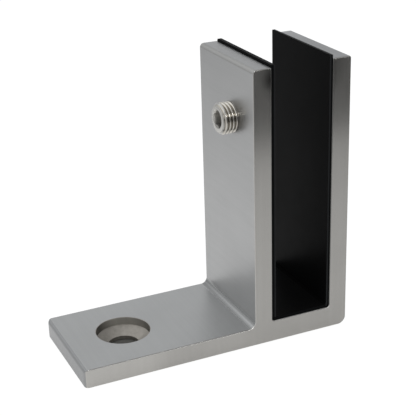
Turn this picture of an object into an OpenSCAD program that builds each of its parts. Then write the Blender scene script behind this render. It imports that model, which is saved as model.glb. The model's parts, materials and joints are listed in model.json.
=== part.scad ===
// Side-fix glass panel clamp: a one-piece foot and channel, a rubber liner, a loose pad and a grub screw.
// Origin on the axis of the fixing hole, at the underside of the foot.
// +X runs along the foot towards the channel, +Y across the width, +Z up. Millimetres.

/* [Clamp body] */
// Length from the foot's free end to the outer face of the far jaw
clamp_len = 100; // [85:1:140]
// Width of the body across the channel
clamp_w = 41; // [30:1:80]
// Height of the jaws above the underside
clamp_h = 100; // [90:1:150]
// Thickness of the foot
foot_t = 6.8; // [5.5:0.1:9]
// Thickness of the metal under the channel
web_t = 8; // [6:0.1:12]
// Thickness of the jaw that carries the grub screw
near_jaw_t = 6.7; // [5:0.1:9]
// Thickness of the jaw that backs the glass
far_jaw_t = 6.9; // [5:0.1:9]
// Clear width of the channel between the bare jaws
slot_w = 23; // [16:0.5:28]

/* [Fixing hole] */
// Distance of the fixing hole from the foot's free end
hole_inset = 21.5; // [15:0.5:28]
// Diameter of the through hole
hole_d = 11; // [8:0.5:13]
// Diameter of the recess for the bolt head
head_d = 19; // [15:0.5:24]
// Depth of the straight wall of that recess
head_depth = 2.9; // [1.5:0.1:4]
// Full angle of the cone at the foot of the recess
drill_angle = 118; // [90:1:140]

/* [Edges and corners] */
// Fillet in the corner between the foot and the near jaw
inner_r = 2.4; // [0.5:0.1:6]
// Round on the lower corner under the far jaw
heel_r = 3; // [0.5:0.1:6]
// Round along the upper edge of the foot's free end
toe_r = 1.6; // [0.5:0.1:3]
// Round along the lower edge of the foot's free end
sole_r = 0.5; // [0.2:0.1:2]
// Round on the two upright corners of the foot's free end
toe_corner_r = 2; // [0.5:0.1:4]
// Round on the two upright corners of the far jaw
back_corner_r = 0.4; // [0.2:0.1:3]
// Round along the outer top edge of the near jaw
near_top_r = 1.6; // [0.3:0.1:3]
// Round along the outer top edge of the far jaw
far_top_r = 0.8; // [0.3:0.1:3]
// Round along the two edges at the mouth of the channel
mouth_r = 0.4; // [0.2:0.1:2]
// Round on the top corners of both jaws, seen from the end
jaw_corner_r = 0.6; // [0.3:0.1:5]
// Fillets in the two lower corners of the channel
slot_r = 0.8; // [0.3:0.1:1]

/* [Rubber] */
// Thickness of the bent liner on the floor and the far jaw
liner_t = 1.2; // [1:0.1:2]
// Outside radius of the liner's bend
liner_bend_r = 2.4; // [2.2:0.1:5]
// Height of the liner above the top of the jaws
liner_rise = 1.2; // [0.5:0.1:5]
// Thickness of the loose pad in front of the grub screw
pad_t = 1.5; // [1:0.1:3]
// Height of the pad above the top of the jaws
pad_rise = 0.8; // [0.5:0.1:5]
// Round on the two top corners of the pad
pad_corner_r = 0.6; // [0.3:0.1:4]
// Setback of both rubbers from the sides of the body
rubber_inset = 0.2; // [0.1:0.1:2]

/* [Grub screw] */
// Outside diameter of the thread
screw_d = 11.1; // [6:0.1:12]
// Length of the grub screw
screw_len = 11.6; // [10:0.1:25]
// Pitch of the thread
screw_pitch = 1.27; // [0.75:0.01:1.75]
// Height of the screw's axis above the underside
screw_z = 79.6; // [60:0.1:84]
// Sideways offset of the screw's axis from the middle of the width
screw_y = -3.2; // [-8:0.1:8]
// Width across the flats of the hexagon socket
key_af = 5.56; // [3:0.01:6]
// Depth of the hexagon socket
key_depth = 4.5; // [2:0.5:6]
// Turn of the hexagon socket about the screw's axis
key_turn = 14; // [0:1:59]
// Gap on radius between the thread and its hole
thread_gap = 0.05; // [0.02:0.01:0.1]

/* [Hidden] */
$fn = 96;
// How far a cutting tool runs past the surface that it leaves through
overrun = 1;
// Faces across the body, from the foot's free end to the outer face of the far jaw
toe_x = -hole_inset;
far_x = toe_x + clamp_len;
slot_far_x = far_x - far_jaw_t;
slot_near_x = slot_far_x - slot_w;
near_x = slot_near_x - near_jaw_t;
// Top of the floor leg of the liner, where the pad stands
liner_floor_z = web_t + liner_t;
rubber_w = clamp_w - 2 * rubber_inset;
// The recess's cone meets the through hole at this height
cone_top_z = foot_t - head_depth;
cone_foot_z = cone_top_z - (head_d - hole_d) / 2 / tan(drill_angle / 2);
// Depth of a 60-degree external thread, as a share of its pitch
thread_depth = 0.6134 * screw_pitch;
// The hexagon socket's radius at its corners, and the mouth that is broken round them
key_r = key_af / 2 / cos(30);
key_mouth = 0.3;

// The sliver between a square corner at the origin and the arc that rounds it
module corner_sliver(r) {
    difference() {
        square(r);
        translate([r, r]) circle(r);
    }
}

// That sliver at a corner: turn is 0 at a lower left, 90 at a lower right, 180 at an upper right, 270 at an upper left
module corner_at(x, y, turn, r) {
    translate([x, y]) rotate(turn) corner_sliver(r);
}

// Stretches an outline drawn in X and Z across the width, middled on Y
module across_width(w) {
    translate([0, w / 2, 0]) rotate([90, 0, 0]) linear_extrude(w) children();
}

// Stretches an outline drawn in Y and Z along X, from one face to the other
module along_foot(from_x, to_x) {
    translate([from_x, 0, 0]) rotate([90, 0, 90]) linear_extrude(to_x - from_x) children();
}

// The channel's clear section, open at the top
module slot_section() {
    difference() {
        translate([slot_near_x, web_t]) square([slot_w, clamp_h - web_t + overrun]);
        corner_at(slot_near_x, web_t, 0, slot_r);
        corner_at(slot_far_x, web_t, 90, slot_r);
    }
}

// Section of the foot and channel, seen from the side
module body_section() {
    difference() {
        union() {
            translate([toe_x, 0]) square([clamp_len, foot_t]);
            translate([near_x, 0]) square([far_x - near_x, clamp_h]);
            corner_at(near_x, foot_t, 90, inner_r);
        }
        slot_section();
        corner_at(toe_x, 0, 0, sole_r);
        corner_at(toe_x, foot_t, 270, toe_r);
        corner_at(far_x, 0, 90, heel_r);
        corner_at(far_x, clamp_h, 180, far_top_r);
        corner_at(near_x, clamp_h, 270, near_top_r);
        corner_at(slot_near_x, clamp_h, 180, mouth_r);
        corner_at(slot_far_x, clamp_h, 270, mouth_r);
    }
}

// Outline of the body seen from above, with its upright corners rounded
module body_plan() {
    difference() {
        translate([toe_x, -clamp_w / 2]) square([clamp_len, clamp_w]);
        corner_at(toe_x, -clamp_w / 2, 0, toe_corner_r);
        corner_at(toe_x, clamp_w / 2, 270, toe_corner_r);
        corner_at(far_x, -clamp_w / 2, 90, back_corner_r);
        corner_at(far_x, clamp_w / 2, 180, back_corner_r);
    }
}

// A rectangle middled on Y that stands from one height to another, with its top corners rounded
module upright_panel(w, from_z, to_z, r) {
    difference() {
        translate([-w / 2, from_z]) square([w, to_z - from_z]);
        corner_at(w / 2, to_z, 180, r);
        corner_at(-w / 2, to_z, 270, r);
    }
}

// Through hole with a drilled head recess, on the origin's axis
module fixing_hole() {
    rotate_extrude() polygon([
        [0, -overrun],
        [hole_d / 2, -overrun],
        [hole_d / 2, cone_foot_z],
        [head_d / 2, cone_top_z],
        [head_d / 2, foot_t + overrun],
        [0, foot_t + overrun],
    ]);
}

// Puts a shape that stands on Z along the screw's axis, pointing out of the near jaw from its inner face
module on_screw_axis() {
    translate([slot_near_x, screw_y, screw_z]) rotate([0, -90, 0]) children();
}

module clamp_body() {
    color([0.63, 0.63, 0.62])
    difference() {
        intersection() {
            across_width(clamp_w) body_section();
            linear_extrude(clamp_h) body_plan();
            along_foot(toe_x, far_x) upright_panel(clamp_w, 0, clamp_h, jaw_corner_r);
        }
        fixing_hole();
        on_screw_axis()
            translate([0, 0, -overrun])
            cylinder(h = near_jaw_t + 2 * overrun, r = screw_d / 2 + thread_gap);
    }
}

// Section of the liner, with a true bend: both of its arcs share one centre
module liner_section() {
    liner_top_z = clamp_h + liner_rise;
    difference() {
        translate([slot_near_x, web_t]) square([slot_w, liner_top_z - web_t]);
        difference() {
            translate([slot_near_x, liner_floor_z])
                square([slot_w - liner_t, liner_top_z - web_t]);
            corner_at(slot_far_x - liner_t, liner_floor_z, 90, liner_bend_r - liner_t);
        }
        corner_at(slot_near_x, web_t, 0, liner_t);
        corner_at(slot_far_x, web_t, 90, liner_bend_r);
    }
}

// One strip of rubber, bent from the channel's floor up the far jaw
module slot_liner() {
    color([0.06, 0.06, 0.06])
    across_width(rubber_w) liner_section();
}

// Loose flat strip between the grub screw and the glass, standing on the liner's floor leg
module screw_side_pad() {
    color([0.08, 0.08, 0.08])
    along_foot(slot_near_x, slot_near_x + pad_t)
        upright_panel(rubber_w, liner_floor_z, clamp_h + pad_rise, pad_corner_r);
}

// Blank of the grub screw with both ends turned down to the root of the thread
module screw_blank() {
    screw_r = screw_d / 2;
    rotate_extrude() polygon([
        [0, 0],
        [screw_r - thread_depth, 0],
        [screw_r, thread_depth],
        [screw_r, screw_len - thread_depth],
        [screw_r - thread_depth, screw_len],
        [0, screw_len],
    ]);
}

// Hexagon socket with a broken mouth and the cone that its drill leaves
module key_socket() {
    socket_z = screw_len - key_depth;
    translate([0, 0, socket_z])
        rotate(key_turn)
        cylinder(h = key_depth + overrun, r = key_r, $fn = 6);
    translate([0, 0, screw_len - key_mouth])
        cylinder(h = key_mouth + overrun, r1 = key_af / 2, r2 = key_r + key_mouth + overrun);
    translate([0, 0, socket_z - key_af / 2 / tan(drill_angle / 2)])
        cylinder(h = key_af / 2 / tan(drill_angle / 2), r1 = 0, r2 = key_af / 2);
}

// Socket set screw, its flat point level with the near jaw's inner face
module grub_screw() {
    color([0.75, 0.74, 0.72])
    on_screw_axis()
    difference() {
        screw_blank();
        key_socket();
    }
}

clamp_body();
slot_liner();
screw_side_pad();
grub_screw();
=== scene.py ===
import json
import math

import bmesh
import bpy
from mathutils import Matrix, Vector


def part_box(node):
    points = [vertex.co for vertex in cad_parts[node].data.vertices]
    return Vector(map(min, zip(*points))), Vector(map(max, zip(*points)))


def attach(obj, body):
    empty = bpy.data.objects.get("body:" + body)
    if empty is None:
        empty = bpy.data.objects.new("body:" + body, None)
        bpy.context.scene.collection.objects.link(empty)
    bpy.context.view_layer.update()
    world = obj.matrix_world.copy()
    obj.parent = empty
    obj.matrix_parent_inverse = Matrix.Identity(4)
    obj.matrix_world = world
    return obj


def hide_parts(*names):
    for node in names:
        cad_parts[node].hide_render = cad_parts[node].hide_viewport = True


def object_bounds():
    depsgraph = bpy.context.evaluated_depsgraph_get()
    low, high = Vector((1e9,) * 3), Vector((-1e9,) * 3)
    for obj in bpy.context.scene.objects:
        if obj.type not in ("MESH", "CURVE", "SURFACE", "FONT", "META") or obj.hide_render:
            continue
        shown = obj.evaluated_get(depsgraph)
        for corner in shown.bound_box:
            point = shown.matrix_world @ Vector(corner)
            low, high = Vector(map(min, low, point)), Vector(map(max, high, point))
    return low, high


# Looks of the glass panel clamp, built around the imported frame.
# The frame is in metres: X along the foot, Y across the width, Z up.
# Values in millimetres are given as number * MM.

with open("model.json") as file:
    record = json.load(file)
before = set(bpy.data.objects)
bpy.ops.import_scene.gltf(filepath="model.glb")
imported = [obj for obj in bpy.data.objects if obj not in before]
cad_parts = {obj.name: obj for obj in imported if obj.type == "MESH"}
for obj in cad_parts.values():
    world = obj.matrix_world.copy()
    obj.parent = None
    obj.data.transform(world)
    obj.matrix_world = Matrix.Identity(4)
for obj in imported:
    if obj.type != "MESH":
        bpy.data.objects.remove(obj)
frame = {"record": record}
CAD_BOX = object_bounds()
MM = 0.001
X, Y, Z = range(3)

# ---------------------------------------------------------------- sizes

BODY_LOW, BODY_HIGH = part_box("clamp_body")
LINER_LOW, LINER_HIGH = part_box("slot_liner")
PAD_LOW, PAD_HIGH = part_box("screw_side_pad")
SCREW_LOW, SCREW_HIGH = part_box("grub_screw")
MOUNTS = {mount["name"]: mount for mount in frame["record"]["mounts"]}

FOOT_THICKNESS = 6.8 * MM
NEAR_JAW_THICKNESS = 6.7 * MM
NEAR_JAW_OUTER_X = LINER_LOW.x - NEAR_JAW_THICKNESS
HOLE_RADIUS = MOUNTS["fixing_hole"]["dims"]["r_mm"] * MM
HOLE_LENGTH = MOUNTS["fixing_hole"]["dims"]["length_mm"] * MM
RECESS_RADIUS = MOUNTS["bolt_head_recess"]["dims"]["r_mm"] * MM
RECESS_DEPTH = MOUNTS["bolt_head_recess"]["dims"]["length_mm"] * MM
LINER_THICKNESS = PAD_LOW.z - LINER_LOW.z
HALF_WIDTH = (BODY_HIGH.y - BODY_LOW.y) / 2

# Fillets and rounds of the body's section, seen from the side
SOLE_ROUND = 0.5 * MM
HEEL_ROUND = 3 * MM
FAR_TOP_ROUND = 0.8 * MM
NEAR_TOP_ROUND = 1.6 * MM
MOUTH_ROUND = 0.4 * MM
CHANNEL_FILLET = 0.8 * MM
INNER_FILLET = 2.4 * MM
TOE_ROUND = 1.6 * MM
# Rounds that the section doesn't show
TOE_CORNER_ROUND = 2 * MM
BACK_CORNER_ROUND = 0.4 * MM
JAW_CORNER_ROUND = 0.6 * MM
EDGE_BREAK = 0.25 * MM
HOLE_LIP = 0.2 * MM
# Rubber
LINER_BEND = 2.4 * MM
LINER_HEEL_ROUND = LINER_THICKNESS * 0.85
PAD_CORNER_ROUND = 0.6 * MM
RUBBER_EDGE = 0.12 * MM
RUBBER_CORNER = 1.2 * RUBBER_EDGE
# Where the rubber cuts carry a band of painted reflection, along X
LINER_PAINTED_REFLECTION_BAND = (LINER_HIGH.x - 1.15 * MM, LINER_HIGH.x - 0.75 * MM)
PAD_PAINTED_REFLECTION_BAND = (PAD_LOW.x + 1.05 * MM, PAD_HIGH.x)
# Grub screw and its tapped hole
SCREW_AXIS_Y = (SCREW_LOW.y + SCREW_HIGH.y) / 2
SCREW_AXIS_Z = (SCREW_LOW.z + SCREW_HIGH.z) / 2
SCREW_RADIUS = (SCREW_HIGH.z - SCREW_LOW.z) / 2
SCREW_LENGTH = SCREW_HIGH.x - SCREW_LOW.x
THREAD_PITCH = 1.27 * MM
THREAD_DEPTH = 0.6134 * THREAD_PITCH
CREST_NOSE = 0.24 * MM
ROOT_NOSE = 0.14 * MM
THREAD_CLEARANCE = 0.06 * MM
CHAMFER_BELOW_ROOT = 0.15 * MM
TIP_BREAK = 0.06 * MM
KEY_FLAT_RADIUS = 5.56 * MM / 2
KEY_CORNER_RADIUS = KEY_FLAT_RADIUS / math.cos(math.pi / 6)
KEY_DEPTH = 4.5 * MM
KEY_DRILL_TIP = 1.3 * MM
KEY_MOUTH = 0.12 * MM
KEY_MOUTH_SLOPE = 1.2
KEY_TURN_DEG = 14

# How finely the curves are drawn
ARC_STEP_DEG = 10
ROUND_STEPS = 5
CORNER_SLICES = 6
NOSE_DEGREES = (-60, -36, -12, 12, 36, 60)
HOLE_SIDES = 128
THREAD_SIDES = 96
SHARP_DEG = 32
# Points nearer than this to each other, or to a cutting plane, count as there
SAME_PLACE = 1e-8
ON_PLANE = 1e-7

# ---------------------------------------------------------------- outlines


def rounded_outline(corners):
    """Points and inward normals round a closed outline.

    Each corner is (u, v, radius), and the corners run anticlockwise.
    """
    points = []
    count = len(corners)
    for i, (u, v, radius) in enumerate(corners):
        here = Vector((u, v))
        before = (here - Vector(corners[i - 1][:2])).normalized()
        after = (Vector(corners[(i + 1) % count][:2]) - here).normalized()
        turn = -before.angle_signed(after)
        reach = radius * math.tan(abs(turn) / 2)
        side = math.copysign(1, turn)
        left = Vector((-before.y, before.x)) * side
        centre = here - before * reach + left * radius
        steps = max(2, math.ceil(math.degrees(abs(turn)) / ARC_STEP_DEG))
        for k in range(steps + 1):
            spoke = Matrix.Rotation(turn * k / steps, 2) @ (-left)
            points.append((centre + spoke * radius, -spoke * side))
    return points


def body_outline():
    """The section of the foot, web and jaws in X and Z."""
    toe, far, top = BODY_LOW.x, BODY_HIGH.x, BODY_HIGH.z
    near = NEAR_JAW_OUTER_X
    return rounded_outline([
        (toe, 0, SOLE_ROUND),
        (far, 0, HEEL_ROUND),
        (far, top, FAR_TOP_ROUND),
        (LINER_HIGH.x, top, MOUTH_ROUND),
        (LINER_HIGH.x, LINER_LOW.z, CHANNEL_FILLET),
        (LINER_LOW.x, LINER_LOW.z, CHANNEL_FILLET),
        (LINER_LOW.x, top, MOUTH_ROUND),
        (near, top, NEAR_TOP_ROUND),
        (near, FOOT_THICKNESS, INNER_FILLET),
        (toe, FOOT_THICKNESS, TOE_ROUND),
    ])


def liner_outline():
    """The section of the bent liner in X and Z. Both arcs of its bend share one centre."""
    near, far = LINER_LOW.x, LINER_HIGH.x
    floor, top = LINER_LOW.z, LINER_HIGH.z
    return rounded_outline([
        (near, floor, LINER_HEEL_ROUND),
        (far, floor, LINER_BEND),
        (far, top, RUBBER_CORNER),
        (far - LINER_THICKNESS, top, RUBBER_CORNER),
        (far - LINER_THICKNESS, floor + LINER_THICKNESS, LINER_BEND - LINER_THICKNESS),
        (near, floor + LINER_THICKNESS, RUBBER_CORNER),
    ])


def pad_outline():
    """The loose pad's face in Y and Z, with its top corners rounded."""
    low, high = PAD_LOW, PAD_HIGH
    return rounded_outline([
        (low.y, low.z, RUBBER_CORNER),
        (high.y, low.z, RUBBER_CORNER),
        (high.y, high.z, PAD_CORNER_ROUND),
        (low.y, high.z, PAD_CORNER_ROUND),
    ])


# ---------------------------------------------------------------- mesh tools


def new_object(name, mesh):
    obj = bpy.data.objects.new(name, mesh)
    bpy.context.scene.collection.objects.link(obj)
    return obj


def object_from_bmesh(name, bm):
    bmesh.ops.recalc_face_normals(bm, faces=bm.faces)
    mesh = bpy.data.meshes.new(name)
    bm.to_mesh(mesh)
    bm.free()
    return new_object(name, mesh)


def across_width(x, z, height):
    """A place in a slab whose outline is in X and Z."""
    return Vector((x, height, z))


def along_foot(y, z, height):
    """A place in a slab whose outline is in Y and Z."""
    return Vector((height, y, z))


def upright(x, y, z):
    return Vector((x, y, z))


def along_screw(x, y, z):
    """A place near the screw's axis: z runs out of the near jaw from its inner face, x is up."""
    return Vector((LINER_LOW.x - z, SCREW_AXIS_Y + y, SCREW_AXIS_Z + x))


def slab(outline, low, high, edge, place):
    """A slab between two heights with its outline's edges rounded.

    place turns (u, v, height) into a point.
    """
    bm = bmesh.new()
    rings = []
    turns = [math.pi / 2 * k / ROUND_STEPS for k in range(ROUND_STEPS + 1)]
    levels = [(edge * (1 - math.sin(t)), low + edge * (1 - math.cos(t))) for t in turns]
    levels += [(edge * (1 - math.sin(t)), high - edge * (1 - math.cos(t))) for t in reversed(turns)]
    for inset, height in levels:
        rings.append([bm.verts.new(place(*(p + n * inset), height)) for p, n in outline])
    count = len(outline)
    for lower, upper in zip(rings, rings[1:]):
        for i in range(count):
            j = (i + 1) % count
            bm.faces.new((lower[i], lower[j], upper[j], upper[i]))
    bm.faces.new(rings[0])
    bm.faces.new(rings[-1])
    return bm


def turned(name, profile, sides, place):
    """A solid of revolution. profile is (radius, height) from end to end, both ends on the axis."""
    bm = bmesh.new()
    rings = []
    for radius, height in profile:
        if radius == 0:
            rings.append([bm.verts.new(place(0, 0, height))])
            continue
        ring = []
        for i in range(sides):
            a = 2 * math.pi * i / sides
            ring.append(bm.verts.new(place(radius * math.cos(a), radius * math.sin(a), height)))
        rings.append(ring)
    for lower, upper in zip(rings, rings[1:]):
        for i in range(sides):
            j = (i + 1) % sides
            if len(lower) == 1:
                bm.faces.new((lower[0], upper[j], upper[i]))
            elif len(upper) == 1:
                bm.faces.new((lower[i], lower[j], upper[0]))
            else:
                bm.faces.new((lower[i], lower[j], upper[j], upper[i]))
    return object_from_bmesh(name, bm)


def boolean(obj, tool, operation):
    """Cuts obj with tool, or keeps what they share, and removes the tool."""
    modifier = obj.modifiers.new("cut", "BOOLEAN")
    modifier.operation = operation
    modifier.solver = "EXACT"
    modifier.object = tool
    graph = bpy.context.evaluated_depsgraph_get()
    made = bpy.data.meshes.new_from_object(obj.evaluated_get(graph))
    obj.modifiers.clear()
    obj.data = made
    bpy.data.objects.remove(tool)


def shade(obj):
    """Smooth shading with the sharp edges kept, and flat faces that stay flat beside their rounds."""
    for polygon in obj.data.polygons:
        polygon.use_smooth = True
    obj.data.set_sharp_from_angle(angle=math.radians(SHARP_DEG))
    weighted = obj.modifiers.new("even_shading", "WEIGHTED_NORMAL")
    weighted.keep_sharp = True


# ---------------------------------------------------------------- clamp body


def corner_drop(distance, radius):
    """How far a rounded corner has fallen back at a distance from its end."""
    if distance >= radius:
        return 0.0
    return radius - math.sqrt(max(0.0, radius**2 - (radius - distance) ** 2))


def slice_near(bm, axis, end, inward, radius):
    """Cuts the faces across near an end, so that a rounded corner can bend them."""
    for k in range(1, CORNER_SLICES + 1):
        at = Vector((0, 0, 0))
        at[axis] = end + inward * radius * (1 - math.cos(math.pi / 2 * k / CORNER_SLICES))
        normal = Vector((0, 0, 0))
        normal[axis] = 1
        everything = bm.verts[:] + bm.edges[:] + bm.faces[:]
        bmesh.ops.bisect_plane(bm, geom=everything, plane_co=at, plane_no=normal, dist=ON_PLANE)


def round_upright_corners(bm):
    """Draws the sides in at the toe, at the far jaw's back and at the jaws' tops."""
    toe, back, top = (r - EDGE_BREAK for r in (TOE_CORNER_ROUND, BACK_CORNER_ROUND, JAW_CORNER_ROUND))
    slice_near(bm, X, BODY_LOW.x, 1, toe)
    slice_near(bm, X, BODY_HIGH.x, -1, back)
    slice_near(bm, Z, BODY_HIGH.z, -1, top)
    for vert in bm.verts:
        x, y, z = vert.co
        drop = corner_drop(x - BODY_LOW.x, toe)
        drop += corner_drop(BODY_HIGH.x - x, back)
        drop += corner_drop(BODY_HIGH.z - z, top)
        vert.co.y = y - math.copysign(drop, y)


def drilled_hole():
    """The cutter of the fixing hole: chamfered foot, through hole, drilled cone and straight recess."""
    lip = HOLE_LIP
    lip_middle = lip * 0.3
    over = 1 * MM
    above = FOOT_THICKNESS + over * 0.3
    return turned("hole_cutter", [
        (0, -over),
        (HOLE_RADIUS + lip + over, -over),
        (HOLE_RADIUS + lip, 0),
        (HOLE_RADIUS, lip),
        (HOLE_RADIUS, HOLE_LENGTH),
        (RECESS_RADIUS, FOOT_THICKNESS - RECESS_DEPTH),
        (RECESS_RADIUS, FOOT_THICKNESS - lip),
        (RECESS_RADIUS + lip_middle, FOOT_THICKNESS - lip_middle),
        (RECESS_RADIUS + lip, FOOT_THICKNESS),
        (RECESS_RADIUS + lip + over, above),
        (0, above),
    ], HOLE_SIDES, upright)


def make_body():
    bm = slab(body_outline(), -HALF_WIDTH, HALF_WIDTH, EDGE_BREAK, across_width)
    round_upright_corners(bm)
    body = object_from_bmesh("clamp_body_satin", bm)
    boolean(body, drilled_hole(), "DIFFERENCE")
    tap = threaded_rod("tap", 0, NEAR_JAW_THICKNESS, THREAD_CLEARANCE)
    boolean(body, tap, "DIFFERENCE")
    shade(body)
    return body


# ---------------------------------------------------------------- rubber strips


def make_liner():
    bm = slab(liner_outline(), LINER_LOW.y, LINER_HIGH.y, RUBBER_EDGE, across_width)
    liner = object_from_bmesh("slot_liner_rubber", bm)
    shade(liner)
    return liner


def make_pad():
    bm = slab(pad_outline(), PAD_LOW.x, PAD_HIGH.x, RUBBER_EDGE, along_foot)
    pad = object_from_bmesh("screw_side_pad_rubber", bm)
    shade(pad)
    return pad


# ---------------------------------------------------------------- thread and grub screw


def thread_section(grow):
    """One pitch of a 60-degree thread as (height, radius): a rounded crest, then a rounded root."""
    crest = SCREW_RADIUS + grow
    root = crest - THREAD_DEPTH
    rows = []
    for middle, level, way, nose in ((0, crest, -1, CREST_NOSE), (THREAD_PITCH / 2, root, 1, ROOT_NOSE)):
        for degrees in NOSE_DEGREES:
            a = math.radians(degrees)
            reach = (nose - way * grow / 2) * math.sin(a)
            rows.append((middle + reach, level + way * nose * (1 - math.cos(a))))
    return rows


def close_thread(bm, lines, low, high):
    """Closes a thread's ends onto the screw's axis, beyond both ends of its helix."""
    bottom = bm.verts.new(along_screw(0, 0, low))
    top = bm.verts.new(along_screw(0, 0, high))
    for i in range(THREAD_SIDES):
        bm.faces.new((bottom, lines[0][i + 1], lines[0][i]))
        bm.faces.new((top, lines[-1][i], lines[-1][i + 1]))
    bmesh.ops.remove_doubles(bm, verts=bm.verts, dist=SAME_PLACE)
    seam = [edge for edge in bm.edges if edge.is_boundary]
    bmesh.ops.holes_fill(bm, edges=seam)


def threaded_rod(name, low, high, grow):
    """The helical solid of the thread from below one height to above another.

    grow widens it on radius and flanks, for a tapped hole.
    """
    turns = math.ceil((high - low) / THREAD_PITCH) + 2
    start = low - THREAD_PITCH * 1.5
    bm = bmesh.new()
    lines = []
    for turn in range(turns):
        for offset, radius in thread_section(grow):
            line = []
            for i in range(THREAD_SIDES + 1):
                a = 2 * math.pi * i / THREAD_SIDES
                height = start + (turn + i / THREAD_SIDES) * THREAD_PITCH + offset
                line.append(bm.verts.new(along_screw(radius * math.cos(a), radius * math.sin(a), height)))
            lines.append(line)
    for lower, upper in zip(lines, lines[1:]):
        for i in range(THREAD_SIDES):
            bm.faces.new((lower[i], lower[i + 1], upper[i + 1], upper[i]))
    close_thread(bm, lines, start - THREAD_PITCH, start + (turns + 2) * THREAD_PITCH)
    return object_from_bmesh(name, bm)


def screw_blank():
    """The envelope that both chamfered ends of the screw are turned to."""
    small = SCREW_RADIUS - THREAD_DEPTH - CHAMFER_BELOW_ROOT
    over = 0.1 * MM
    wide = SCREW_RADIUS + over
    chamfer = wide - small
    return turned("blank", [
        (0, 0),
        (small, 0),
        (wide, chamfer),
        (wide, SCREW_LENGTH - chamfer),
        (small + TIP_BREAK, SCREW_LENGTH - TIP_BREAK),
        (small - TIP_BREAK, SCREW_LENGTH),
        (0, SCREW_LENGTH),
    ], THREAD_SIDES, along_screw)


def key_socket():
    """The cutter of the hexagon socket, with its drilled foot."""
    foot = SCREW_LENGTH - KEY_DEPTH
    over = SCREW_LENGTH + 1 * MM
    turn = math.radians(KEY_TURN_DEG)

    def place(x, y, z):
        up = x * math.cos(turn) - y * math.sin(turn)
        aside = x * math.sin(turn) + y * math.cos(turn)
        return along_screw(up, aside, z)

    return turned("socket", [
        (0, foot - KEY_DRILL_TIP),
        (KEY_CORNER_RADIUS, foot),
        (KEY_CORNER_RADIUS, over),
        (0, over),
    ], 6, place)


def socket_mouth():
    """The cutter of the countersink at the socket's mouth."""
    reach = KEY_CORNER_RADIUS + KEY_MOUTH
    bottom = SCREW_LENGTH - (reach - KEY_FLAT_RADIUS) * KEY_MOUTH_SLOPE
    inside = 0.1 * MM
    over = 0.5 * MM
    return turned("mouth", [
        (0, bottom),
        (KEY_FLAT_RADIUS - inside, bottom),
        (reach, SCREW_LENGTH),
        (reach + over, SCREW_LENGTH + over),
        (0, SCREW_LENGTH + over),
    ], THREAD_SIDES, along_screw)


def make_screw():
    screw = threaded_rod("grub_screw_threaded", 0, SCREW_LENGTH, 0)
    boolean(screw, screw_blank(), "INTERSECT")
    boolean(screw, key_socket(), "DIFFERENCE")
    boolean(screw, socket_mouth(), "DIFFERENCE")
    shade(screw)
    return screw


# ---------------------------------------------------------------- node tools

EVEN = (1, 1, 1)
ALONG_FOOT = (1, 0, 0)
ACROSS_WIDTH = (0, 1, 0)
UPWARD = (0, 0, 1)
# Noise scales, in patches a metre, and the ranges that most of a noise lies in
BRUSH_SCALE = 3200
DRAG_SCALE = 700
SCRATCH_SCALE = 2500
SPECK_SCALE = 5200
BLOOM_SCALE = 120
MID_NOISE = (0.3, 0.7)
WIDE_NOISE = (0.25, 0.75)
# The scale of the noise along the grain, which draws it out into lines
GRAIN_SCALE = 0.02
BRUSH_DEPTH = 0.004 * MM
SPECK_DEPTH = 0.01 * MM
RUBBER_MOTTLE = 0.15


class Nodes:
    """Short calls for building a node tree."""

    def __init__(self, tree, fresh=True):
        self.tree = tree
        if fresh:
            tree.nodes.clear()

    def add(self, kind, **settings):
        node = self.tree.nodes.new(kind)
        for name, value in settings.items():
            setattr(node, name, value)
        return node

    def link(self, out, socket):
        self.tree.links.new(out, socket)

    def place(self, coordinate="Object"):
        return self.add("ShaderNodeTexCoord").outputs[coordinate]

    def math(self, operation, a, b):
        node = self.add("ShaderNodeMath", operation=operation)
        for socket, value in zip(node.inputs, (a, b)):
            if isinstance(value, (int, float)):
                socket.default_value = value
            else:
                self.link(value, socket)
        return node.outputs[0]

    def vector_math(self, operation, socket, vector):
        node = self.add("ShaderNodeVectorMath", operation=operation)
        self.link(socket, node.inputs[0])
        node.inputs[1].default_value = vector
        return node

    def noise(self, vector, scale, detail, roughness):
        node = self.add("ShaderNodeTexNoise")
        node.inputs["Scale"].default_value = scale
        node.inputs["Detail"].default_value = detail
        node.inputs["Roughness"].default_value = roughness
        self.link(vector, node.inputs["Vector"])
        return node.outputs["Fac"]

    def span(self, value, low, high, to_low, to_high):
        """The value taken from one range to another, and held at its ends."""
        node = self.add("ShaderNodeMapRange")
        self.link(value, node.inputs["Value"])
        node.inputs["From Min"].default_value = low
        node.inputs["From Max"].default_value = high
        node.inputs["To Min"].default_value = to_low
        node.inputs["To Max"].default_value = to_high
        return node.outputs["Result"]

    def blend(self, factor, first, second):
        """The first colour where factor is zero and the second where it is one."""
        node = self.add("ShaderNodeMix", data_type="RGBA")
        node.inputs["A"].default_value = (*first, 1)
        node.inputs["B"].default_value = (*second, 1)
        self.link(factor, node.inputs["Factor"])
        return node.outputs["Result"]

    def bump(self, height, strength, depth):
        node = self.add("ShaderNodeBump")
        node.inputs["Strength"].default_value = strength
        node.inputs["Distance"].default_value = depth
        self.link(height, node.inputs["Height"])
        return node.outputs["Normal"]

    def mix_shaders(self, share, first, second):
        node = self.add("ShaderNodeMixShader")
        for socket, value in zip(node.inputs, (share, first, second)):
            self.link(value, socket)
        return node.outputs[0]


def stretched(nodes, scale):
    """Object coordinates scaled by axis, for a grain that runs one way."""
    mapping = nodes.add("ShaderNodeMapping")
    mapping.inputs["Scale"].default_value = scale
    nodes.link(nodes.place(), mapping.inputs["Vector"])
    return mapping.outputs["Vector"]


def new_material(name):
    material = bpy.data.materials.new(name)
    material.use_nodes = True
    nodes = Nodes(material.node_tree)
    shader = nodes.add("ShaderNodeBsdfPrincipled")
    out = nodes.add("ShaderNodeOutputMaterial")
    nodes.link(shader.outputs["BSDF"], out.inputs["Surface"])
    return material, nodes, shader


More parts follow.
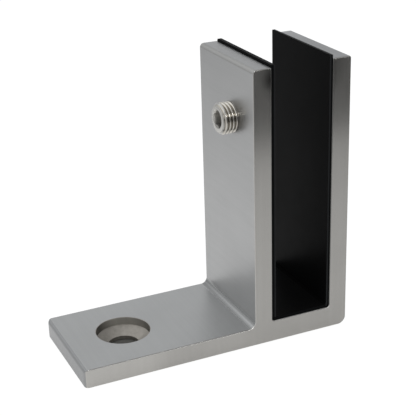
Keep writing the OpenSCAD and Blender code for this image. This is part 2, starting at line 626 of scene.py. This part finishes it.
def shades(color, spread):
    """A colour's darker shade and its lighter one."""
    return [[c * (1 - spread) for c in color], [c * (1 + spread) for c in color]]


# ---------------------------------------------------------------- materials


def steel(name, color, roughness, grain, spread=None, mottle=0.045, patch=45):
    """Satin steel with brush lines along the axis grain.

    spread is the axis that the lines spread light along, and how strongly. mottle is how uneven the
    colour is, and patch the scale of its patches.
    """
    material, nodes, shader = new_material(name)
    with_grain = Vector(EVEN)
    with_grain[grain] = GRAIN_SCALE
    streaks = nodes.noise(stretched(nodes, with_grain), BRUSH_SCALE, 3, 0.6)
    drags = nodes.noise(stretched(nodes, with_grain), DRAG_SCALE, 2, 0.5)
    clouds = nodes.noise(stretched(nodes, EVEN), patch, 3, 0.55)
    tone = nodes.math("ADD", nodes.math("MULTIPLY", drags, 0.4), nodes.math("MULTIPLY", clouds, 0.6))
    mottled = nodes.blend(nodes.span(tone, *MID_NOISE, 0, 1), *shades(color, mottle))
    uneven = nodes.span(streaks, *WIDE_NOISE, roughness * 0.9, roughness * 1.1)
    nodes.link(mottled, shader.inputs["Base Color"])
    nodes.link(uneven, shader.inputs["Roughness"])
    nodes.link(nodes.bump(streaks, 0.25, BRUSH_DEPTH), shader.inputs["Normal"])
    shader.inputs["Metallic"].default_value = 1
    if spread:
        across, strength = spread
        shader.inputs["Anisotropic"].default_value = strength
        tangent = nodes.add("ShaderNodeCombineXYZ")
        tangent.inputs[across].default_value = 1
        nodes.link(tangent.outputs[0], shader.inputs["Tangent"])
    return material


# The tone helpers below paint shade, light and reflections into a material's colour, by place or by facing
def scale_tone(material, coordinate, operation, vector, measures, tones):
    """Multiplies a material's colour by a tone that goes from the first to the second of tones.

    It goes there between two measures of a coordinate: its dot product with, or distance from, vector.
    """
    nodes = Nodes(material.node_tree, fresh=False)
    shader = next(node for node in material.node_tree.nodes if node.type == "BSDF_PRINCIPLED")
    color = shader.inputs["Base Color"]
    measure = nodes.vector_math(operation, nodes.place(coordinate), vector)
    scaled = nodes.add("ShaderNodeVectorMath", operation="SCALE")
    nodes.link(color.links[0].from_socket, scaled.inputs[0])
    nodes.link(nodes.span(measure.outputs["Value"], *measures, *tones), scaled.inputs["Scale"])
    nodes.link(scaled.outputs[0], color)


def tone_along(material, axis, places, tones):
    """Tones the colour between two places along an axis."""
    scale_tone(material, "Object", "DOT_PRODUCT", axis, places, tones)


def tone_round(material, point, distances, tones):
    """Tones the colour between two distances from a point."""
    scale_tone(material, "Object", "DISTANCE", point, distances, tones)


def tone_facing(material, direction, shares, tones):
    """Tones the colour between two shares of the face's normal along a direction."""
    scale_tone(material, "Normal", "DOT_PRODUCT", direction, shares, tones)


def profile_steel():
    """The belt-ground section faces, with painted reflections: lighter toward the foot's free end, and
    painted shade round the channel's mouth, darkest at the near jaw's lip.
    """
    material = steel("steel_profile", (0.41, 0.4, 0.38), 0.22, Z, (X, 0.6))
    lip = Vector((LINER_LOW.x + 0.4 * MM, BODY_LOW.y, BODY_HIGH.z - 4 * MM))
    mouth = Vector(((LINER_LOW.x + LINER_HIGH.x) / 2, BODY_LOW.y, BODY_HIGH.z))
    # Painted light toward the foot's free end, painted shade at the near jaw's lip and round the channel's
    # mouth
    tone_along(material, ALONG_FOOT, (0, 10 * MM), (1.16, 1))
    tone_round(material, lip, (0.4 * MM, 4.5 * MM), (0.2, 1))
    tone_round(material, mouth, (10.5 * MM, 17.5 * MM), (0.5, 1))
    return material


def bored_steel():
    """The recess's upright wall, with painted shade: darker where it turns away from the lit side to the
    sides.
    """
    material = steel("steel_bored", (0.44, 0.422, 0.385), 0.6, Z, mottle=0.08, patch=300)
    lit_side = (-0.41, -0.91, 0)
    # Painted shade on the sides that face away from the lit side
    tone_facing(material, lit_side, (0.4, 0.95), (0.4, 1))
    return material


def fillet_steel():
    """The inner corner's fillet, with painted shade: darker along its middle than beside it, and darker
    toward the back.
    """
    material = steel("steel_fillet", (0.298, 0.302, 0.302), 0.24, Y)
    middle = (-0.7, 0, 0.714)
    # Painted shade along the fillet's middle, lighter beside it
    tone_facing(material, middle, (0.82, 0.96), (1.33, 1))
    # Painted shade toward the back
    tone_along(material, ACROSS_WIDTH, (BODY_LOW.y, BODY_HIGH.y), (1.04, 0.78))
    return material


def broached_steel():
    """The socket's walls, in a pale base that paints light into the deep socket, with painted shade darker
    toward the lowest one.
    """
    # Pale base: painted light inside the socket
    material = steel("broached_steel", (0.62, 0.605, 0.57), 0.6, X, mottle=0.1, patch=600)
    # Painted shade toward the lowest wall, painted light toward the top
    tone_along(material, UPWARD, (SCREW_AXIS_Z - 2.5 * MM, SCREW_AXIS_Z + 1.5 * MM), (0.45, 1.1))
    return material


def threaded_steel(name, root, crest):
    """Bright rolled thread, with painted shade dark in the grooves and the crests left light."""
    material, nodes, shader = new_material(name)
    flat = nodes.vector_math("MULTIPLY", nodes.place(), (0, 1, 1))
    away = nodes.vector_math("DISTANCE", flat.outputs[0], (0, SCREW_AXIS_Y, SCREW_AXIS_Z))
    groove = SCREW_RADIUS - THREAD_DEPTH * 0.9
    ridge = SCREW_RADIUS - THREAD_DEPTH * 0.2
    # Painted shade: the colour darkens from the crests down into the grooves
    lift = nodes.span(away.outputs["Value"], groove, ridge, 0, 1)
    scratches = nodes.noise(stretched(nodes, EVEN), SCRATCH_SCALE, 3, 0.6)
    tone = nodes.math("ADD", lift, nodes.span(scratches, *MID_NOISE, -0.12, 0.12))
    nodes.link(nodes.blend(tone, root, crest), shader.inputs["Base Color"])
    nodes.link(nodes.span(scratches, *MID_NOISE, 0.14, 0.22), shader.inputs["Roughness"])
    shader.inputs["Metallic"].default_value = 1
    return material


def rubber(name, color, roughness, level):
    """Dense black rubber, smooth and faintly uneven."""
    material, nodes, shader = new_material(name)
    clouds = nodes.noise(stretched(nodes, EVEN), BLOOM_SCALE, 4, 0.6)
    specks = nodes.noise(stretched(nodes, EVEN), SPECK_SCALE, 2, 0.5)
    uneven = nodes.span(clouds, *MID_NOISE, roughness * 0.92, roughness * 1.08)
    nodes.link(nodes.blend(clouds, *shades(color, RUBBER_MOTTLE)), shader.inputs["Base Color"])
    nodes.link(uneven, shader.inputs["Roughness"])
    nodes.link(nodes.bump(specks, 0.2, SPECK_DEPTH), shader.inputs["Normal"])
    shader.inputs["Specular IOR Level"].default_value = level
    return material


def cut_rubber(name, low, high):
    """A strip's cut across the width, with a painted reflection: a paler band between two places along X, and
    painted shade darkening it on both sides.
    """
    # A lighter black than the moulded skin: painted reflection on the cut
    material = rubber(name, (0.017, 0.0178, 0.0185), 0.6, 0.02)
    soft = 0.25 * MM
    # Painted shade on both sides of the painted reflection band
    tone_along(material, ALONG_FOOT, (low - soft, low), (0.2, 1))
    tone_along(material, ALONG_FOOT, (high, high + soft), (1, 0.2))
    return material


# ---------------------------------------------------------------- which face gets which finish

# How far a face looks along an axis, as its normal's share there
SLIGHTLY, PARTLY, MOSTLY, NEARLY, WHOLLY = 0.12, 0.3, 0.7, 0.95, 0.99
UPRIGHT_END, LEVEL_TOP = 0.15, 0.8
CHAMFER_SLOPE = (0.68, 0.74)


def is_in_hole(centre):
    """In the fixing hole or its recess, below the foot's top and above its sole."""
    beside_wall = RECESS_RADIUS + 0.3 * MM
    low, high = 0.05 * MM, FOOT_THICKNESS - 0.01 * MM
    return centre.xy.length < beside_wall and low < centre.z < high


def hole_finish(centre, normal):
    in_recess = centre.z > FOOT_THICKNESS - RECESS_DEPTH
    return "bored" if in_recess and abs(normal.z) < PARTLY else "drilled"


def is_broken_edge(centre, normal):
    """On the small rounds along the section, apart from the rounded corners at its ends."""
    on_round = abs(centre.y) > HALF_WIDTH - EDGE_BREAK and SLIGHTLY < abs(normal.y) < WHOLLY
    past_toe = centre.x > BODY_LOW.x + TOE_CORNER_ROUND
    return on_round and past_toe and (centre.z < BODY_HIGH.z - 1 * MM or normal.z > PARTLY)


def is_near(x, z, centre, reach):
    """Within reach of a corner of the section."""
    return abs(centre.x - x) < reach and abs(centre.z - z) < reach


def edge_finish(centre, normal):
    by_fillet = is_near(NEAR_JAW_OUTER_X, FOOT_THICKNESS, centre, INNER_FILLET)
    in_channel = is_near(LINER_HIGH.x, LINER_LOW.z, centre, CHANNEL_FILLET * 1.5)
    if by_fillet or in_channel:
        return "edges"
    if normal.z > PARTLY:
        return "level_edges"
    return "edges" if centre.x < NEAR_JAW_OUTER_X + EDGE_BREAK else "slot_edges"


def is_near_round(centre, normal):
    by_edge = centre.x < NEAR_JAW_OUTER_X + NEAR_TOP_ROUND and centre.z > BODY_HIGH.z - NEAR_TOP_ROUND
    return by_edge and -WHOLLY < normal.x < -PARTLY and SLIGHTLY < normal.z < NEARLY


def is_fillet(centre, normal):
    by_corner = centre.x > NEAR_JAW_OUTER_X - INNER_FILLET and centre.z < FOOT_THICKNESS + INNER_FILLET
    return by_corner and -WHOLLY < normal.x < -SLIGHTLY and SLIGHTLY < normal.z < WHOLLY


def body_finish(centre, normal):
    """The name of the finish that a face of the body gets."""
    if is_in_hole(centre):
        return hole_finish(centre, normal)
    if is_broken_edge(centre, normal):
        return edge_finish(centre, normal)
    if abs(normal.y) > MOSTLY:
        return "profile"
    if is_fillet(centre, normal):
        return "fillet"
    if is_near_round(centre, normal):
        return "near_round"
    if centre.z > BODY_HIGH.z - NEAR_TOP_ROUND and normal.z > LEVEL_TOP:
        return "near_top" if centre.x < LINER_LOW.x else "far_top"
    if centre.x < BODY_LOW.x + TOE_ROUND and normal.z < NEARLY:
        return "toe_end" if normal.z < UPRIGHT_END else "toe_round"
    if centre.z < FOOT_THICKNESS + INNER_FILLET and normal.z > MOSTLY:
        return "foot"
    return "jaws"


def rubber_finish(centre, normal):
    """The moulded skin, the duller cut across the width with its painted reflection band, or the dull inside
    of the bend, darker with painted shade.
    """
    if abs(normal.y) > MOSTLY:
        return "cut"
    return "fold" if normal.x < -SLIGHTLY and normal.z > SLIGHTLY else "moulded"


def screw_finish(centre, normal):
    """The socket's walls and bottom, the turned ends and chamfers, or the rolled thread."""
    away = Vector((centre.y - SCREW_AXIS_Y, centre.z - SCREW_AXIS_Z)).length
    behind_mouth = SCREW_LOW.x + 0.04 * MM < centre.x < SCREW_LOW.x + KEY_DEPTH + 2 * MM
    if behind_mouth and away < KEY_CORNER_RADIUS + 0.02 * MM:
        return "socket"
    if abs(normal.x) > NEARLY:
        return "ends"
    return "chamfer" if CHAMFER_SLOPE[0] < abs(normal.x) < CHAMFER_SLOPE[1] else "thread"


def dress(piece, finishes, finish_of):
    """Gives each face of a piece one of the finishes, by the name that finish_of gives it."""
    names = list(finishes)
    for finish in finishes.values():
        piece.data.materials.append(finish)
    for polygon in piece.data.polygons:
        polygon.material_index = names.index(finish_of(polygon.center, polygon.normal))


def body_finishes():
    """The body's finishes: steel for the grinding, milling, drilling and sawing that made its faces, and
    copies with painted shade on the tops, rounds, sawn end, channel's edges and fillet, and painted highlight
    on the outer edges.
    """
    return {
        "jaws": steel("steel_jaws", (0.4, 0.401, 0.4), 0.37, Y, (Z, 0.3)),
        "profile": profile_steel(),
        "drilled": steel("steel_drilled", (0.325, 0.307, 0.28), 0.55, Z, mottle=0.16, patch=330),
        # Lighter edge breaks: polished, and painted highlight
        "edges": steel("steel_edges", (0.52, 0.51, 0.49), 0.3, Y),
        "fillet": fillet_steel(),
        "foot": steel("steel_foot", (0.405, 0.41, 0.41), 0.37, Y, (X, 0.4)),
        # Painted shade on the near jaw's top
        "near_top": steel("steel_tops", (0.315, 0.318, 0.32), 0.34, Y, (X, 0.3)),
        # Sawn end, darkened with painted shade
        "toe_end": steel("steel_sawn_painted_shade", (0.34, 0.342, 0.342), 0.4, Z),
        # Painted shade on the round between the toe's end and the foot's top
        "toe_round": steel("steel_toe_round", (0.27, 0.273, 0.275), 0.3, Y),
        # Painted shade on the channel's edges
        "slot_edges": steel("steel_slot_edges", (0.2, 0.198, 0.19), 0.3, Z),
        "bored": bored_steel(),
        # Painted shade on the far jaw's top, with uneven patches
        "far_top": steel("steel_far_top", (0.275, 0.279, 0.285), 0.34, Y, (X, 0.3), mottle=0.22),
        # Painted shade on the near jaw's top round
        "near_round": steel("steel_near_round", (0.33, 0.328, 0.32), 0.42, Y),
        # Painted shade on the edge breaks that face up
        "level_edges": steel("steel_level_edges", (0.26, 0.255, 0.245), 0.34, Y),
    }


def screw_finishes():
    """The rolled thread, the broached socket and the turned ends and chamfers."""
    return {
        # The darker root colour is painted shade in the thread's grooves
        "thread": threaded_steel("rolled_thread", (0.34, 0.315, 0.27), (0.56, 0.535, 0.49)),
        "socket": broached_steel(),
        "ends": steel("turned_ends", (0.52, 0.51, 0.485), 0.26, X),
        "chamfer": steel("turned_chamfer", (0.4, 0.395, 0.38), 0.2, X),
    }


# ---------------------------------------------------------------- studio

FLOOR_HALF_WIDTH, FLOOR_FRONT, FLOOR_BACK = 1.6, -0.207, 2.2
FLOOR_GAP = 0.05 * MM
# Under the part's footprint the floor is dark: painted shade, seen through the fixing hole
FLOOR_COLOR, UNDER_PART_PAINTED_SHADE = (0.8, 0.8, 0.8), (0.1, 0.098, 0.092)
UNDER_PART_INSET = Vector((3, 3, 0)) * MM
# The pale pool that the metal mirrors in the floor
POOL_MIDDLE = (-0.01, 0.06, 0)
POOL_REACH = 0.3
POOL_NEAR, POOL_FAR = 1.32, 0.48
# What the camera and the metal see of the floor's glow, and the share of it
SEEN_GLOW = 1.06
SEEN_SHARE, MIRRORED_SHARE = 0.9, 0.4
# The room that the metal mirrors. It goes from dim to pale between two steps of Y + lean * Z.
ROOM_DIM, ROOM_PALE = 0.14, 0.8
ROOM_STEPS = (-0.75, -0.3)
ROOM_LEAN = 0.9
ROOM_COLOR = (0.98, 0.99, 1, 1)
WHITE = (1, 1, 1, 1)
DAYLIGHT = (0.97, 0.985, 1)
# The camera stands in front, toward the foot's free end, and looks down
CAMERA_PLACE = Vector((-114.577, -329.285, 197.33)) * MM
CAMERA_YAW_DEG, CAMERA_PITCH_DEG, CAMERA_ROLL_DEG = 24.302, 22.651, -1.593
CAMERA_LENS = 96.846
CAMERA_SENSOR = 36
CAMERA_NEAR_CLIP = 0.01


def under_part(nodes, place):
    """One under the part's footprint, zero beside it, from the floor's own coordinates."""
    split = nodes.add("ShaderNodeSeparateXYZ")
    nodes.link(place, split.inputs[0])
    middle = (BODY_LOW + BODY_HIGH) / 2
    half = (BODY_HIGH - BODY_LOW) / 2 - UNDER_PART_INSET
    along = nodes.math("ABSOLUTE", nodes.math("SUBTRACT", split.outputs["X"], middle.x), 0)
    across = nodes.math("ABSOLUTE", nodes.math("SUBTRACT", split.outputs["Y"], middle.y), 0)
    in_length = nodes.math("LESS_THAN", along, half.x)
    in_width = nodes.math("LESS_THAN", across, half.y)
    return nodes.math("MULTIPLY", in_length, in_width)


def floor_material():
    """White to the camera, a soft pool of light to what mirrors it, plain to the rest of the light, and dark
    under the part with painted shade.
    """
    material = bpy.data.materials.new("studio_floor")
    material.use_nodes = True
    nodes = Nodes(material.node_tree)
    where = nodes.place()
    hidden = under_part(nodes, where)
    away = nodes.vector_math("DISTANCE", where, POOL_MIDDLE)
    pool = nodes.span(away.outputs["Value"], 0, POOL_REACH, POOL_NEAR, POOL_FAR)
    rays = nodes.add("ShaderNodeLightPath")
    seen = rays.outputs["Is Camera Ray"]
    mirrored = nodes.math("MAXIMUM", rays.outputs["Is Glossy Ray"], rays.outputs["Is Transmission Ray"])
    diffuse = nodes.add("ShaderNodeBsdfDiffuse")
    # Painted shade under the part's footprint
    nodes.link(nodes.blend(hidden, FLOOR_COLOR, UNDER_PART_PAINTED_SHADE), diffuse.inputs["Color"])
    glow = nodes.add("ShaderNodeEmission")
    glow.inputs["Color"].default_value = WHITE
    to_mirrors = nodes.math("MULTIPLY", mirrored, pool)
    to_camera = nodes.math("MULTIPLY", seen, SEEN_GLOW)
    nodes.link(nodes.math("ADD", to_mirrors, to_camera), glow.inputs["Strength"])
    seen_share = nodes.math("MULTIPLY", seen, SEEN_SHARE)
    share = nodes.math("ADD", seen_share, nodes.math("MULTIPLY", mirrored, MIRRORED_SHARE))
    open_share = nodes.math("MULTIPLY", share, nodes.math("SUBTRACT", 1, hidden))
    out = nodes.add("ShaderNodeOutputMaterial")
    surface = nodes.mix_shaders(open_share, diffuse.outputs[0], glow.outputs[0])
    nodes.link(surface, out.inputs["Surface"])
    return material


def make_floor():
    """A pale sweep that ends in front of the object, with the object's soft shadow on it."""
    wide, front, back = FLOOR_HALF_WIDTH, FLOOR_FRONT, FLOOR_BACK
    z = BODY_LOW.z - FLOOR_GAP
    mesh = bpy.data.meshes.new("studio_floor")
    corners = [(-wide, front, z), (wide, front, z), (wide, back, z), (-wide, back, z)]
    mesh.from_pydata(corners, [], [(0, 1, 2, 3)])
    floor = new_object("studio_floor", mesh)
    floor.data.materials.append(floor_material())


def background(nodes, color):
    node = nodes.add("ShaderNodeBackground")
    node.inputs["Color"].default_value = color
    return node


def make_world():
    """White to the camera. What the metal mirrors is pale behind and above, and dim low in front."""
    world = bpy.data.worlds.new("studio")
    bpy.context.scene.world = world
    world.use_nodes = True
    nodes = Nodes(world.node_tree)
    split = nodes.add("ShaderNodeSeparateXYZ")
    nodes.link(nodes.place("Generated"), split.inputs[0])
    lifted = nodes.math("MULTIPLY", split.outputs["Z"], ROOM_LEAN)
    behind = nodes.math("ADD", split.outputs["Y"], lifted)
    room = background(nodes, ROOM_COLOR)
    nodes.link(nodes.span(behind, *ROOM_STEPS, ROOM_DIM, ROOM_PALE), room.inputs["Strength"])
    white = background(nodes, WHITE)
    seen = nodes.add("ShaderNodeLightPath").outputs["Is Camera Ray"]
    out = nodes.add("ShaderNodeOutputWorld")
    nodes.link(nodes.mix_shaders(seen, room.outputs[0], white.outputs[0]), out.inputs["Surface"])


def make_lamp(name, place, size, radiance, color):
    """A square soft box that faces the object's middle, of the given radiance."""
    light = bpy.data.lights.new(name, "AREA")
    light.size = size
    light.energy = radiance * math.pi * size * size
    light.color = color
    lamp = new_object(name, light)
    lamp.location = place
    centre = (CAD_BOX[0] + CAD_BOX[1]) / 2
    lamp.rotation_mode = "QUATERNION"
    lamp.rotation_quaternion = (centre - Vector(place)).to_track_quat("-Z", "Y")


def make_camera():
    angles = (CAMERA_YAW_DEG, CAMERA_PITCH_DEG, CAMERA_ROLL_DEG)
    yaw, pitch, roll = (math.radians(a) for a in angles)
    forward = Vector((math.sin(yaw) * math.cos(pitch), math.cos(yaw) * math.cos(pitch), -math.sin(pitch)))
    level = Vector((math.cos(yaw), -math.sin(yaw), 0))
    above = level.cross(forward)
    right = level * math.cos(roll) + above * math.sin(roll)
    up = above * math.cos(roll) - level * math.sin(roll)
    data = bpy.data.cameras.new("camera")
    data.sensor_width = CAMERA_SENSOR
    data.lens = CAMERA_LENS
    data.clip_start = CAMERA_NEAR_CLIP
    camera = new_object("camera", data)
    turn = Matrix((right, up, -forward)).transposed()
    camera.matrix_world = Matrix.Translation(CAMERA_PLACE) @ turn.to_4x4()
    bpy.context.scene.camera = camera


def make_studio():
    make_floor()
    make_world()
    make_lamp("back_softbox", (-0.5, 0.35, 0.85), 1.3, 0.5, DAYLIGHT)
    make_lamp("front_strip", (-0.13, -0.85, 0.58), 0.28, 9, DAYLIGHT)
    make_lamp("front_window", (0.48, -1.06, 0.07), 0.16, 12, (1, 1, 1))
    make_camera()
    bpy.context.scene.view_settings.view_transform = "Standard"


# ---------------------------------------------------------------- assembly


def seat(piece, body, node):
    """Ties a piece to its moving body and hides the node that it stands for."""
    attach(piece, body)
    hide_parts(node)


make_studio()

body = make_body()
dress(body, body_finishes(), body_finish)
seat(body, "clamp", "clamp_body")

black = rubber("black_rubber", (0.004, 0.004, 0.0041), 0.42, 0.02)
# The bend's inside: dull, and a darker black that is painted shade in the crease
fold = rubber("rubber_fold", (0.003, 0.003, 0.003), 0.8, 0)
liner = make_liner()
liner_cut = cut_rubber("liner_cut", *LINER_PAINTED_REFLECTION_BAND)
dress(liner, {"moulded": black, "cut": liner_cut, "fold": fold}, rubber_finish)
seat(liner, "clamp", "slot_liner")

pad = make_pad()
pad_cut = cut_rubber("pad_cut", *PAD_PAINTED_REFLECTION_BAND)
dress(pad, {"moulded": black, "cut": pad_cut, "fold": fold}, rubber_finish)
seat(pad, "pad", "screw_side_pad")

screw = make_screw()
dress(screw, screw_finishes(), screw_finish)
seat(screw, "screw", "grub_screw")
